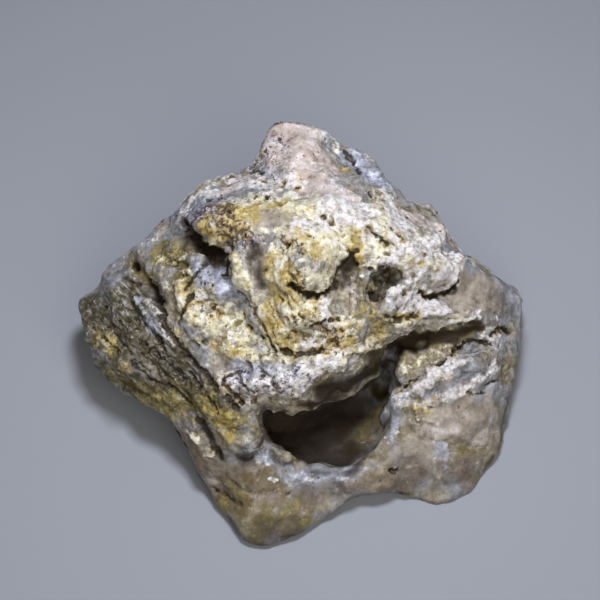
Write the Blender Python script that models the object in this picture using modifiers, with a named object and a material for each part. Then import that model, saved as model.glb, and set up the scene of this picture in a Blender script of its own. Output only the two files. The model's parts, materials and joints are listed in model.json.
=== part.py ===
"""A ventifact: one desert stone, carved by wind-blown sand, that rests on small flats on its underside.

Lengths in the tables are millimetres. The stone's frame has +X to the right of its show face, +Y to the
back and +Z up. The show face is the carved side, and it leans back from lying flat by FACE_LEAN degrees.
A place on the show face is (across, up), measured along that leaning face from its middle point, as an eye
sees it from EYE_DISTANCE straight out over EYE_UP. Heights are above the ground.
"""

import math
import random

import bmesh
import bpy
import numpy as np
from mathutils import Matrix, Vector, noise
from mathutils.bvhtree import BVHTree

MM = 0.001

# Driving dimensions
STONE_WIDTH = 58.0
FACE_LEAN = 30.0
FACE_MIDDLE = Vector((0.0, 0.0, 14.0))
EYE_DISTANCE = 220.0
EYE_UP = 5.0
FOOT_WEAR = 0.2

# How finely the stone and its cutter are made
VOXEL = 0.55
CUTTER_VOXEL = 0.5 * VOXEL
TRIANGLES = 8600
SLIVER = 0.05

# Look of the weathered chalcedony: a warm grey, dull, not metallic
STONE_COLOUR = (0.47, 0.41, 0.33, 1.0)
STONE_ROUGHNESS = 0.7
STONE_METALLIC = 0.0

# The wind-worn surface: size and depth of its broken facets and of its lumps
FACETS = (4.6, 0.9)
LUMPS = (2.8, 0.6)
SLANT_SHUFFLE = 97
SMOOTHING = (0.5, 3)

# A chip takes a boulder down to between these shares of its radius. A pocket has this many chips.
CHIP_REACH = (0.74, 0.94)
POCKET_CHIPS = 8

# The carved face is a springy sheet: how far it may miss its heights, how far a point may turn away from the
# show face and still take the sheet's height, and how far off the skin it looks for cover
SHEET_SOFTNESS = 0.4
LEAST_FACING = 0.1
COVER_GAP = 0.3

LEAN = math.radians(FACE_LEAN)
FACE_UP = Vector((0.0, math.cos(LEAN), math.sin(LEAN)))
FACE_OUT = Vector((0.0, -math.sin(LEAN), math.cos(LEAN)))

# The rough block before the wind: boulders as centre, radii, turn about X, Y and Z in degrees, and chips
BOULDERS = {
    "body": ((1, 8, 14), (20, 14, 12.5), (0, 0, 8), 18),
    "crown": ((-3, 10, 20), (16, 12, 9), (-18, 0, 0), 16),
    "brow": ((0, 2, 20), (12.5, 9, 8), (-30, 0, 0), 14),
    "lip": ((0, -4, 16), (10, 6, 5), (-20, 0, 0), 12),
    "peak": ((0.5, 21, 19.5), (8.5, 8, 10.5), (12, 4, 10), 12),
    "back_shoulder": ((9, 19, 14.5), (10, 10, 12), (0, 0, -20), 12),
    "right_brow": ((14, 9, 17), (9, 11, 8.5), (0, 28, -20), 12),
    "wing_top": ((21.5, 6, 8.5), (11, 12, 9), (0, 22, 15), 12),
    "wing_face": ((20.5, -5, 5), (10.5, 13, 6.5), (14, 10, -8), 14),
    "wing_foot": ((17.5, -12, 1.6), (9, 9, 4), (0, 0, 20), 12),
    "left_cheek": ((-14, 9, 15), (11, 11, 10), (0, -22, 10), 14),
    "left_flank": ((-15, 0.5, 10.5), (12.5, 9.5, 6.5), (-12, -16, -18), 14),
    "left_lobe": ((-22.5, 3.5, 10), (9, 9.5, 5), (0, -12, 20), 12),
    "leg_top": ((-11.5, -6, 7), (7.5, 8, 6), (20, 0, -25), 12),
    "leg_foot": ((-7.5, -14.5, 4), (8.5, 9, 5), (12, 0, -30), 12),
    "front_toe": ((-2.5, -19, 1.8), (10, 8.5, 4.5), (0, 0, 10), 10),
    "rim": ((5, -15, 2.5), (13, 7.5, 4), (0, 0, 4), 12),
    "base": ((2, 1, 4), (21, 16, 5), (0, 0, 0), 12),
    "left_heel": ((-8.5, 8, 3.5), (8, 8, 5.5), (0, 0, 30), 10),
    "right_heel": ((13, 10, 3.5), (8, 8, 5.5), (0, 0, -15), 10),
}

# The stone's outline, looking straight at the show face
OUTLINE = (
    (-4.0, 26.2), (-3.0, 27.0), (0.0, 27.1), (3.1, 26.1), (5.0, 24.4), (7.2, 23.7), (9.0, 22.5),
    (10.4, 20.2), (12.5, 18.5), (13.7, 17.1), (16.5, 16.5), (18.4, 13.6), (20.4, 10.4), (22.2, 9.8),
    (23.6, 8.9), (24.6, 7.5), (26.9, 6.5), (27.7, 5.2), (27.7, 1.3), (27.1, -3.8), (26.4, -8.8),
    (25.0, -13.8), (22.5, -18.0), (20.0, -19.7), (17.5, -20.9), (15.0, -20.2), (13.0, -19.4),
    (9.5, -19.3), (6.2, -20.0), (3.0, -22.4), (0.6, -24.2), (-2.5, -25.4), (-4.8, -25.9), (-6.8, -25.4),
    (-8.5, -23.2), (-11.0, -19.8), (-12.6, -17.2), (-13.8, -14.2), (-15.2, -11.6), (-16.2, -9.9),
    (-18.8, -8.3), (-21.9, -6.9), (-23.9, -5.4), (-25.9, -3.0), (-26.4, -0.6), (-27.0, 0.0), (-27.1, 2.2),
    (-27.9, 4.9), (-25.4, 6.3), (-24.7, 8.3), (-23.4, 9.8), (-20.0, 11.9), (-17.3, 14.8), (-15.4, 15.8),
    (-14.6, 17.6), (-11.9, 19.8), (-9.4, 20.5), (-6.2, 21.9), (-5.1, 23.1),
)

# Height of the carved face: for each station across, (up, height above the ground)
SECTIONS = {
    -26.9: ((5.2, 12), (2.5, 12), (0, 11.5), (-2, 9)),
    -23.8: ((9.6, 14.5), (7.5, 15.5), (5, 15), (2.5, 14.5), (0, 13.5), (-2.5, 12), (-4.4, 10),
            (-5.6, 7.5)),
    -18.8: ((12.8, 17.5), (11.2, 19.5), (9.4, 20), (6.9, 19.2), (3.8, 18), (1.2, 17), (-1.2, 15.5),
            (-3.8, 13.5), (-6.2, 11), (-8.1, 8.5)),
    -12.5: ((19.2, 22.5), (17.5, 25), (15.6, 26), (13.1, 25.2), (9.4, 23.8), (5.6, 22.5), (1.9, 20),
            (-0.6, 18), (-3.1, 16), (-5.6, 14), (-8.1, 12), (-10.6, 10), (-13.1, 8), (-15.6, 5.5),
            (-18.1, 2.5)),
    -6.2: ((21.5, 24), (20, 25.5), (18.1, 27), (16.2, 28), (14.4, 28.5), (10.6, 27), (6.9, 24.5),
           (2.5, 21), (0, 19.5), (-2.5, 18.3), (-4.4, 17.3), (-6.2, 16), (-7.8, 14.4), (-11.2, 12),
           (-13.8, 9), (-16.2, 7), (-18.8, 6), (-21.2, 4.5), (-23.8, 2.5), (-25.6, 0.5)),
    0: ((27, 26), (25.6, 27.5), (23.8, 28), (20, 27.5), (16.2, 29.5), (12.5, 29.8), (8.8, 28.3),
        (6.8, 26.8), (4.4, 24.6), (2.5, 23.2), (0.6, 21.5), (-1.5, 19.4), (-3.5, 18.6), (-5, 17.6),
        (-6.9, 15.8), (-8.2, 14.4), (-16.2, 5), (-17.5, 5.5), (-19.4, 4.4), (-21.2, 3.4), (-23.8, 1.9)),
    6.2: ((23.8, 19), (22.5, 23), (20.6, 26), (16.9, 28.5), (13.1, 28.7), (8.1, 25), (3.8, 23),
          (1.2, 21.5), (-1.2, 19), (-3.1, 17), (-5, 14.5), (-6.9, 12), (-16.2, 5), (-17.2, 5.5),
          (-18.8, 4.2), (-20, 2.4)),
    10.6: ((19.8, 20), (18.1, 24), (16.2, 26), (12.5, 27.5), (9.4, 26.5), (4.4, 24), (2.5, 22), (0.6, 19),
           (-2.5, 13), (-16.2, 5.5), (-19, 2.4)),
    15: ((17, 19), (15.6, 21.5), (13.8, 24), (11.9, 25.5), (9.5, 25), (7.5, 23.5), (6, 21), (4.5, 20),
         (2.8, 19.4), (1.2, 16.5), (-2.5, 13.5), (-5, 12.5), (-7.5, 11), (-10, 9.5), (-12.5, 7.5),
         (-15, 5.5), (-17.5, 3), (-19.8, 0.8)),
    19.4: ((12.1, 17.5), (10, 20.8), (8.4, 21.6), (7, 20.6), (5.4, 17.8), (3.2, 17), (1.6, 14.5),
           (-2.5, 12), (-5, 11), (-7.5, 10), (-12.5, 7), (-15, 5), (-17.5, 3), (-19.8, 0.8)),
    23.8: ((8.4, 15.5), (6.9, 16), (3.6, 15), (1.8, 13.2), (-1.2, 11.5), (-3.8, 10.5), (-8.8, 7.5),
           (-13.8, 3), (-16, 0.8)),
    26.9: ((6.2, 12), (2.5, 11), (-1.2, 8.5), (-5, 5), (-7.5, 2.5)),
}

# Shallow hollows in the face: outline, depth, and width of the slope round it
HOLLOWS = {
    "cheek_step": (((-9.2, 10.5), (-8.6, 8), (-7.4, 5.4), (-5.2, 2), (-4, -1.2), (-8.5, -0.6), (-13.5, 3),
                    (-15.4, 6.4), (-13, 9.4)), 1.4, 1.1),
    "grey_scoop": (((-11, -1.4), (-9, -0.8), (-6.7, -1), (-7, -3), (-8.8, -5), (-10.8, -4.2)), 1.3, 1.8),
}

# Deep pockets the wind has drilled: (across, up, height) of the middle, half length, half width and half
# depth, turn in the face, and how far the pocket dips in under its upper edge, both in degrees
POCKETS = {
    "eye_slot": ((-11.4, 11.3, 23.6), (4.0, 1.45, 5.2), -42, 30),
    "eye_hole": ((10.5, 7.6, 23.2), (2.7, 2.2, 3.4), 28, 10),
    "eye_corner": ((9.6, 5.3, 23.2), (1.5, 1.5, 3.6), 10, 0),
    "ledge_groove": ((16.6, 1.0, 15.5), (7.0, 1.4, 3.6), 12, 25),
    "side_channel": ((11.2, -2.4, 12.5), (4.2, 1.6, 4.2), -84, 0),
    "cheek_slot": ((-18.2, 6.0, 18.4), (2.8, 1.1, 3.2), -52, 15),
    "knob_side": ((5.5, 8.5, 25.9), (2.8, 0.95, 2.4), 66, 25),
    "knob_under": ((1.6, 5.4, 25.2), (3.0, 0.7, 2.6), -4, 30),
    "right_under": ((17.3, 6.1, 19.8), (3.0, 0.7, 2.8), 12, 25),
    "lip_recess": ((0.4, -1.5, 20.6), (2.6, 0.8, 2.4), 4, 20),
    "leg_notch": ((-6.7, -14.3, 9.0), (1.7, 0.7, 1.3), -8, 10),
    "lip_corner": ((-8.2, -6.8, 14.6), (3.0, 0.6, 2.4), -45, 25),
    "left_pit": ((-20.4, 9.0, 19.0), (1.1, 1.0, 2.4), 0, 0),
}

# Ridges (height above 0) and cracks (below 0) on the face: points along it, width, height
STROKES = {
    "wing_crack": (((11.9, -6.9), (14.4, -4.8), (17, -2.5), (18.5, -1.2), (22.5, -0.6)), 2.2, -2.6),
    "nose_valley": (((-9.4, 9.4), (-8.5, 6.5), (-7, 3.8), (-5.6, 1.5), (-4.6, -0.6)), 3.0, -1.1),
    "grey_lump": (((-11.6, 7.8), (-10.2, 6.2)), 5.0, 2.2),
    "nose_side": (((-8.2, 9.4), (-6.8, 6), (-4.6, 3), (-3, 0.4)), 4.4, 1.0),
    "knob": (((0.0, 9.4), (1.6, 8.0), (3.4, 7.4)), 5.6, 1.5),
    "upper_lip": (((-2, 3.2), (1.5, 2.6), (5, 2.8)), 4.5, 0.9),
    "flank_valley": (((-17.1, 4.4), (-15.6, 1.9), (-12.5, -0.6), (-9.4, -2.5)), 4.0, -1.6),
    "brow_valley": (((3.8, 15.6), (6.5, 12.5), (7, 10.5)), 4.0, -1.6),
    "brow_ridge": (((4.5, 16.9), (9, 14.8), (12.5, 12.8), (15.6, 10.6), (17.5, 9.8)), 5.0, 1.5),
    "ledge_ridge": (((10.6, 0.2), (12.5, 1.6), (15.6, 2.6), (19.4, 3.3), (23.1, 3.7)), 3.4, 1.6),
    "lip_ridge": (((-8.8, -5.4), (-5.6, -5.4), (-1.2, -5), (2.5, -4.2), (6.2, -3.2), (10, -2)), 6.0, 1.7),
    "wing_ridge": (((12.5, -7.5), (15, -5.6), (17.5, -4), (21.2, -3), (24.4, -1.5)), 3.6, 1.8),
    "flank_groove_high": (((-21.5, 3.5), (-17.5, -0.5), (-12.5, -5)), 2.4, -1.6),
    "flank_groove_low": (((-23.5, 0.5), (-18.5, -3.5), (-13.5, -8)), 2.4, -1.6),
    "leg_ridge": (((-11.9, -6.9), (-9.8, -9.4), (-7.5, -11.9), (-6, -13)), 6.0, 1.5),
}

# The mouth, a bowl below the overhanging lip: its outline on the face, the height of its floor, and the
# pocket that runs in under the lip
MOUTH = (
    (-5.2, -8.5), (-1.0, -8.6), (3.8, -7.6), (7.8, -6.5), (10.4, -3.4), (11.3, -5.6), (10.8, -10.0),
    (9.4, -13.5), (6.9, -15.5), (3.8, -16.2), (0.0, -15.4), (-3.1, -13.8), (-5.2, -10.6),
)
MOUTH_FLOOR = 2.6
LIP_POCKET = ((3.5, -5.5, 7.2), (9.0, 8.0, 5.2), (-10, 0, 6), 9)

# The mouth's cutter: how far it stands out over the mouth's floor, and the rounding of its inner end
PLUG_REACH = 25.0
PLUG_ROUNDING = 1.6
PLUG_ROUNDING_STEPS = 4

# The block that takes the stone down to the ground
GROUND_WIDTH = 100.0
GROUND_DEPTH = 20.0


def turned(angles):
    """The rotation by these degrees about X, Y and Z."""
    about_x, about_y, about_z = (math.radians(angle) for angle in angles)
    first = Matrix.Rotation(about_x, 4, "X")
    second = Matrix.Rotation(about_y, 4, "Y")
    third = Matrix.Rotation(about_z, 4, "Z")
    return third @ second @ first


def on_face(points):
    """(across, up, out) of points given in the stone's frame, all in millimetres."""
    away = np.asarray(points) - np.array(FACE_MIDDLE)
    return away[:, 0], away @ np.array(FACE_UP), away @ np.array(FACE_OUT)


def as_seen(points):
    """(across, up, out) of points, with across and up as the eye sees them."""
    across, up, out = on_face(points)
    nearness = EYE_DISTANCE / (EYE_DISTANCE - out)
    return across * nearness, EYE_UP + (up - EYE_UP) * nearness, out


def placed(across, up, out):
    """The points of the stone's frame that the eye sees at (across, up), this far out."""
    nearness = EYE_DISTANCE / (EYE_DISTANCE - out)
    true_up = EYE_UP + (up - EYE_UP) / nearness
    sideways = np.multiply.outer(across / nearness, np.array([1.0, 0.0, 0.0]))
    return (
        np.array(FACE_MIDDLE) + sideways + np.multiply.outer(true_up, np.array(FACE_UP))
        + np.multiply.outer(out, np.array(FACE_OUT))
    )


def out_at_height(up, height):
    """How far out of the face's middle plane a place lies that has this height above the ground."""
    return (height - FACE_MIDDLE.z - up * FACE_UP.z) / FACE_OUT.z


def inside_distance(across, up, outline):
    """Distance to a closed outline: positive inside it, negative outside."""
    nearest = np.full(across.shape, np.inf)
    inside = np.zeros(across.shape, bool)
    for (x0, y0), (x1, y1) in zip(outline, outline[1:] + outline[:1]):
        nearest = np.minimum(nearest, segment_distance(across, up, x0, y0, x1, y1))
        if y0 != y1:
            crosses = (y0 > up) != (y1 > up)
            inside ^= crosses & (across < x0 + (up - y0) * (x1 - x0) / (y1 - y0))
    return np.where(inside, nearest, -nearest)


def segment_distance(across, up, x0, y0, x1, y1):
    length = (x1 - x0) ** 2 + (y1 - y0) ** 2
    share = np.clip(((across - x0) * (x1 - x0) + (up - y0) * (y1 - y0)) / length, 0, 1)
    return np.hypot(across - x0 - share * (x1 - x0), up - y0 - share * (y1 - y0))


def line_distance(across, up, line):
    found = [segment_distance(across, up, *start, *end) for start, end in zip(line, line[1:])]
    return np.minimum.reduce(found)


def smooth_step(share):
    share = np.clip(share, 0, 1)
    return share * share * (3 - 2 * share)


def thin_plate(distance):
    return distance**2 * np.log(distance + 1e-9)


def bent_sheet():
    """The springy sheet that passes through every height of SECTIONS, as a function of (across, up)."""
    spots = np.array([(across, up) for across, row in SECTIONS.items() for up, _ in row], float)
    heights = [out_at_height(up, height) for row in SECTIONS.values() for up, height in row]
    between = np.linalg.norm(spots[:, None] - spots[None], axis=2)
    plane = np.column_stack([np.ones(len(spots)), spots])
    softness = SHEET_SOFTNESS * np.eye(len(spots))
    system = np.block([[thin_plate(between) + softness, plane], [plane.T, np.zeros((3, 3))]])
    weights = np.linalg.solve(system, np.concatenate([heights, np.zeros(3)]))

    def sheet(across, up):
        out = weights[-3] + weights[-2] * across + weights[-1] * up
        for weight, (spot_across, spot_up) in zip(weights[:-3], spots):
            out = out + weight * thin_plate(np.hypot(across - spot_across, up - spot_up))
        return out

    return sheet


def carved_face(across, up, sheet):
    """How far out the carved face lies at (across, up), with its hollows, ridges and cracks."""
    out = sheet(across, up)
    for line, width, height in STROKES.values():
        out = out + height * (1 - smooth_step(2 * line_distance(across, up, line) / width))
    for outline, depth, wall in HOLLOWS.values():
        out = out - depth * smooth_step(inside_distance(across, up, outline) / wall)
    return out


def chipped_boulder(bm, name, centre, radii, angles, chips):
    """Adds a ball to bm, flattened by random chips, then stretched, turned and put in place."""
    made = bmesh.ops.create_icosphere(bm, subdivisions=4, radius=1.0)["verts"]
    dice = random.Random(name)
    for _ in range(chips):
        direction = Vector((dice.gauss(0, 1), dice.gauss(0, 1), dice.gauss(0, 1))).normalized()
        reach = dice.uniform(*CHIP_REACH)
        for vert in made:
            vert.co -= max(vert.co.dot(direction) - reach, 0) * direction
    stretch = Matrix.Diagonal((*radii, 1.0))
    bmesh.ops.transform(bm, matrix=Matrix.Translation(centre) @ turned(angles) @ stretch, verts=made)
    return made


def object_of(bm, name, collection):
    mesh = bpy.data.meshes.new(name)
    bm.to_mesh(mesh)
    bm.free()
    made = bpy.data.objects.new(name, mesh)
    collection.objects.link(made)
    return made


def applied(obj):
    """Gives the object the mesh that its modifiers make."""
    graph = bpy.context.evaluated_depsgraph_get()
    mesh = bpy.data.meshes.new_from_object(obj.evaluated_get(graph))
    obj.modifiers.clear()
    obj.data = mesh


def remeshed(obj, voxel):
    remesh = obj.modifiers.new("one skin", "REMESH")
    remesh.mode = "VOXEL"
    remesh.voxel_size = voxel
    applied(obj)


def smoothed(obj, factor, rounds):
    smooth = obj.modifiers.new("worn", "SMOOTH")
    smooth.factor = factor
    smooth.iterations = rounds
    applied(obj)


def cut_with(obj, cutter):
    cutter.hide_render = True
    cutter.display_type = "WIRE"
    cut = obj.modifiers.new(cutter.name, "BOOLEAN")
    cut.operation = "DIFFERENCE"
    cut.solver = "EXACT"
    cut.object = cutter
    applied(obj)


def trimmed_to_outline(obj):
    """Moves every point that lies outside the stone's outline straight in to it."""
    mesh = obj.data
    points = np.array([v.co for v in mesh.vertices])
    across, up, out = as_seen(points)
    over = inside_distance(across, up, OUTLINE) < 0
    spots = nearest_spots(across[over], up[over], np.array(OUTLINE))
    points[over] = placed(spots[:, 0], spots[:, 1], out[over])
    mesh.vertices.foreach_set("co", points.ravel())
    mesh.update()


def nearest_spots(across, up, corners):
    """The nearest spot to each place on the closed outline through these corners."""
    places = np.column_stack([across, up])
    spots = places.copy()
    nearest = np.full(len(places), np.inf)
    for start, end in zip(corners, np.roll(corners, -1, axis=0)):
        along = end - start
        share = np.clip((places - start) @ along / (along @ along), 0, 1)
        spot = start + share[:, None] * along
        away = np.linalg.norm(spot - places, axis=1)
        closer = away < nearest
        spots[closer] = spot[closer]
        nearest[closer] = away[closer]
    return spots


def add_mouth_plug(bm):
    """A plug with the mouth's outline that stands out of the face, with a rounded inner end."""
    across, up = np.array(MOUTH).T
    floor = out_at_height(up, MOUTH_FLOOR)
    inner = [bm.verts.new(spot) for spot in placed(across, up, floor)]
    outer = [bm.verts.new(spot) for spot in placed(across, up, floor + PLUG_REACH)]
    sides = [bm.faces.new(inner), bm.faces.new(outer)]
    for index in range(len(inner)):
        sides.append(bm.faces.new((inner[index - 1], inner[index], outer[index], outer[index - 1])))
    rim = list(sides[0].edges)
    bmesh.ops.recalc_face_normals(bm, faces=sides)
    bmesh.ops.bevel(
        bm, geom=rim, offset=PLUG_ROUNDING, segments=PLUG_ROUNDING_STEPS, affect="EDGES", profile=0.5
    )


def add_pocket(bm, name, middle, radii, turn, dip):
    """A chipped ball that lies in the face, turned in it and dipped under its upper edge."""
    made = chipped_boulder(bm, name, (0, 0, 0), radii, (-dip, 0, 0), POCKET_CHIPS)
    across, up, height = middle
    spot = Vector(placed(across, up, out_at_height(up, height)))
    on_the_face = Matrix((Vector((1, 0, 0)), FACE_UP, FACE_OUT)).transposed().to_4x4()
    place = Matrix.Translation(spot) @ on_the_face @ Matrix.Rotation(math.radians(turn), 4, "Z")
    bmesh.ops.transform(bm, matrix=place, verts=made)


def hollow_cutter(collection):
    """The mouth, the pocket behind its lip and the drilled pockets, as one body."""
    bm = bmesh.new()
    add_mouth_plug(bm)
    chipped_boulder(bm, "lip_pocket", *LIP_POCKET)
    for name, shape in POCKETS.items():
        add_pocket(bm, name, *shape)
    cutter = object_of(bm, "hollow_cutter", collection)
    remeshed(cutter, CUTTER_VOXEL)
    return cutter


def pressed_to_face(obj, sheet):
    """Moves every point that is open to the front of the show face onto the carved face."""
    mesh = obj.data
    tree = BVHTree.FromPolygons([v.co for v in mesh.vertices], [p.vertices for p in mesh.polygons])
    points = np.array([v.co for v in mesh.vertices])
    across, up, _ = as_seen(points)
    target = carved_face(across, up, sheet)
    carved = placed(across, up, target)
    for index, vert in enumerate(mesh.vertices):
        faces_out = vert.normal.dot(FACE_OUT) > LEAST_FACING
        if faces_out and tree.ray_cast(vert.co + COVER_GAP * FACE_OUT, FACE_OUT)[0] is None:
            points[index] = carved[index]
    mesh.vertices.foreach_set("co", points.ravel())
    mesh.update()


def facet_height(place):
    """Each cell of the stone is broken off flat, at its own slant."""
    size, depth = FACETS
    spot = place / size
    centre = noise.voronoi(spot)[1][0]
    slant = noise.cell_vector(centre * SLANT_SHUFFLE) - Vector((0.5, 0.5, 0.5))
    return 2 * depth * slant.dot(spot - centre)


def weathered(obj):
    """Moves every point along its normal by the facets and lumps of a broken, wind-worn stone."""
    size, depth = LUMPS
    mesh = obj.data
    moves = []
    for vert in mesh.vertices:
        lump = depth * noise.fractal(vert.co / size, 0.9, 2.0, 3)
        moves.append(vert.normal * (facet_height(vert.co) + lump))
    for vert, move in zip(mesh.vertices, moves):
        vert.co += move
    mesh.update()


def thinned(obj, triangles):
    """Fewer faces where the stone is plain."""
    obj.data.calc_loop_triangles()
    decimate = obj.modifiers.new("fewer faces", "DECIMATE")
    decimate.ratio = triangles / len(obj.data.loop_triangles)
    applied(obj)


def ground_block(collection):
    """A block whose top is the ground."""
    bm = bmesh.new()
    block = bmesh.ops.create_cube(bm, size=1.0)["verts"]
    bmesh.ops.scale(bm, vec=(GROUND_WIDTH, GROUND_WIDTH, GROUND_DEPTH), verts=block)
    bmesh.ops.translate(bm, vec=(0, 0, -GROUND_DEPTH / 2), verts=block)
    return object_of(bm, "ground_block", collection)


def set_down(obj):
    """Puts the worn feet of the stone exactly on the ground."""
    for vert in obj.data.vertices:
        if vert.co.z < FOOT_WEAR:
            vert.co.z = 0.0
    obj.data.update()


def one_body(obj):
    """Keeps the largest of the stone's closed skins, as triangles with no slivers."""
    bm = bmesh.new()
    bm.from_mesh(obj.data)
    bmesh.ops.dissolve_degenerate(bm, dist=SLIVER, edges=bm.edges)
    skins = []
    left = set(bm.verts)
    while left:
        reached = [left.pop()]
        for vert in reached:
            near = {edge.other_vert(vert) for edge in vert.link_edges} & left
            left -= near
            reached.extend(near)
        skins.append(reached)
    largest = max(skins, key=len)
    for skin in skins:
        if skin is not largest:
            bmesh.ops.delete(bm, geom=skin, context="VERTS")
    bmesh.ops.triangulate(bm, faces=bm.faces)
    bmesh.ops.recalc_face_normals(bm, faces=bm.faces)
    bm.to_mesh(obj.data)
    bm.free()


def centred(obj):
    """Puts the middle of the stone's footprint at the origin and makes the stone STONE_WIDTH wide."""
    points = np.array([v.co for v in obj.data.vertices])
    low = points.min(axis=0)
    high = points.max(axis=0)
    middle = (low + high) / 2
    size = MM * STONE_WIDTH / (high[0] - low[0])
    return Matrix.Scale(size, 4) @ Matrix.Translation((-middle[0], -middle[1], 0))


def stone_material():
    material = bpy.data.materials.new("weathered chalcedony")
    material.use_nodes = True
    surface = material.node_tree.nodes["Principled BSDF"]
    surface.inputs["Base Color"].default_value = STONE_COLOUR
    surface.inputs["Roughness"].default_value = STONE_ROUGHNESS
    surface.inputs["Metallic"].default_value = STONE_METALLIC
    return material


def main():
    for obj in list(bpy.data.objects):
        bpy.data.objects.remove(obj)
    stone_group = bpy.data.collections.new("ventifact")
    bpy.context.scene.collection.children.link(stone_group)
    cutters = bpy.data.collections.new("cutters")
    bpy.context.scene.collection.children.link(cutters)
    bm = bmesh.new()
    for name, (centre, radii, angles, chips) in BOULDERS.items():
        chipped_boulder(bm, name, centre, radii, angles, chips)
    stone = object_of(bm, "stone", stone_group)
    remeshed(stone, VOXEL)
    trimmed_to_outline(stone)
    pressed_to_face(stone, bent_sheet())
    remeshed(stone, VOXEL)
    hollows = hollow_cutter(cutters)
    cut_with(stone, hollows)
    remeshed(stone, VOXEL)
    smoothed(stone, *SMOOTHING)
    weathered(stone)
    trimmed_to_outline(stone)
    ground = ground_block(cutters)
    cut_with(stone, ground)
    remeshed(stone, VOXEL)
    set_down(stone)
    thinned(stone, TRIANGLES)
    set_down(stone)
    one_body(stone)
    to_place = centred(stone)
    for obj in (stone, hollows, ground):
        obj.data.transform(to_place)
    stone.data.materials.append(stone_material())


main()
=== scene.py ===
import json
import math
import random
from functools import partial

import bpy
import numpy as np
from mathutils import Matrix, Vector, noise
from mathutils.bvhtree import BVHTree

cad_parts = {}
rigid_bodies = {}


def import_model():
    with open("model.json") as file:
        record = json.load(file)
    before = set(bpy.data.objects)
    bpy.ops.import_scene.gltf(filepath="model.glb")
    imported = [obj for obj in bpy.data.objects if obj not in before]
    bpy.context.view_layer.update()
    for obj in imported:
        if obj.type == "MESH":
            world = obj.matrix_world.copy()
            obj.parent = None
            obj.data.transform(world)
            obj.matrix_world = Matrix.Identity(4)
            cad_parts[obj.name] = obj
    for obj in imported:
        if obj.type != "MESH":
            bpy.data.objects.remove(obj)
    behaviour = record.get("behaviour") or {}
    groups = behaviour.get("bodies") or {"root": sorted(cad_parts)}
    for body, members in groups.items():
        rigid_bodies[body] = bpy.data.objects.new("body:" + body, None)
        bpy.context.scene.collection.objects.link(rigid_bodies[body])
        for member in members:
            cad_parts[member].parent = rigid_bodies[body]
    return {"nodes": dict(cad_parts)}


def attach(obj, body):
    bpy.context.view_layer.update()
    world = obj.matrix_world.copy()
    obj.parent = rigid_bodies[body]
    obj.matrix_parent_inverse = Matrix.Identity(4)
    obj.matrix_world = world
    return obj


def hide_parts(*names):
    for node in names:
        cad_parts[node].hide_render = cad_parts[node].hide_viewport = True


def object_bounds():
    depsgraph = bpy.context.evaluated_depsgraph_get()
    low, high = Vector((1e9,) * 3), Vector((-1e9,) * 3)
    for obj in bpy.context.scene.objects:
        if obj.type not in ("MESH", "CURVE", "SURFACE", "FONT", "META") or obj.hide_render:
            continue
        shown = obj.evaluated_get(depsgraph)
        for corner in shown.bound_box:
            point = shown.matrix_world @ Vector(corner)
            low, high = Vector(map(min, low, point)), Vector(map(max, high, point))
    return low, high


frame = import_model()
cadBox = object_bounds()
mm = 0.001  # metres in a millimetre

# Looks down on the show face. Lengths are in mm, the elevation in degrees.
cameraSetup = {
    "aim": (-0.402, 1.006, 16.407), "elevation": 60, "distance": 218.8, "nearest": 10,
    "lens": 105.6, "sensor": 36,
}


def addCamera(setup):
    tilt = math.radians(setup["elevation"])
    back = Vector((0, -math.cos(tilt), math.sin(tilt)))
    place = (Vector(setup["aim"]) + back * setup["distance"]) * mm
    bpy.ops.object.camera_add(location=place, rotation=(math.pi / 2 - tilt, 0, 0))
    camera = bpy.context.object
    camera.data.lens = setup["lens"]
    camera.data.sensor_width = setup["sensor"]
    camera.data.clip_start = setup["nearest"] * mm
    bpy.context.scene.camera = camera
    return camera


camera = addCamera(cameraSetup)
bpy.context.view_layer.update()
print("camera is in place")


def deselectAll():
    bpy.ops.object.select_all(action="DESELECT")


def makeActive(piece):
    deselectAll()
    piece.select_set(True)
    bpy.context.view_layer.objects.active = piece


def applyModifier(piece, kind, **settings):
    modifier = piece.modifiers.new(kind.title(), kind)
    for key, value in settings.items():
        setattr(modifier, key, value)
    makeActive(piece)
    bpy.ops.object.modifier_apply(modifier=modifier.name)


def soften(piece, strength, rounds):
    applyModifier(piece, "SMOOTH", factor=strength, iterations=rounds)


def copyOfNode(node, name, weld):
    makeActive(node)
    bpy.ops.object.duplicate()
    piece = bpy.context.object
    piece.name = name
    piece.data.name = name
    bpy.ops.object.parent_clear(type="CLEAR_KEEP_TRANSFORM")
    bpy.ops.object.transform_apply(location=True, rotation=True, scale=True)
    piece.data.materials.clear()
    bpy.ops.object.mode_set(mode="EDIT")
    bpy.ops.mesh.select_all(action="SELECT")
    bpy.ops.mesh.remove_doubles(threshold=weld * mm)
    bpy.ops.object.mode_set(mode="OBJECT")
    return piece


def pointsOf(piece, what="co"):
    values = np.empty(len(piece.data.vertices) * 3)
    piece.data.vertices.foreach_get(what, values)
    return values.reshape(-1, 3)


def setPoints(piece, points):
    piece.data.vertices.foreach_set("co", points.ravel())
    piece.data.update()


def eased(share):
    share = np.clip(share, 0, 1)
    return share * share * (3 - 2 * share)


skin = {  # lengths in mm
    "weld": 0.001,  # the solid's loose corners are joined within this
    "spacing": 0.2,  # between the points of the skin
    "softening": (0.5, 10),  # strength and rounds of smoothing, which take the flat facets off the solid
    "lastSoftening": (0.25, 1),  # the same after carving
    "triangles": 192000,
    "margin": 0.01,  # the skin stays this far inside the solid's box, but stands on its floor
}

stone = copyOfNode(frame["nodes"]["stone"], "ventifact_stone", skin["weld"])
applyModifier(stone, "REMESH", mode="VOXEL", voxel_size=skin["spacing"] * mm)
soften(stone, *skin["softening"])
print("fine skin has", len(stone.data.vertices), "points")

viewSize = 600  # places on the show face are given as the camera sees them, on a square this wide
skinTree = BVHTree.FromObject(stone, bpy.context.evaluated_depsgraph_get())


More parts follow.
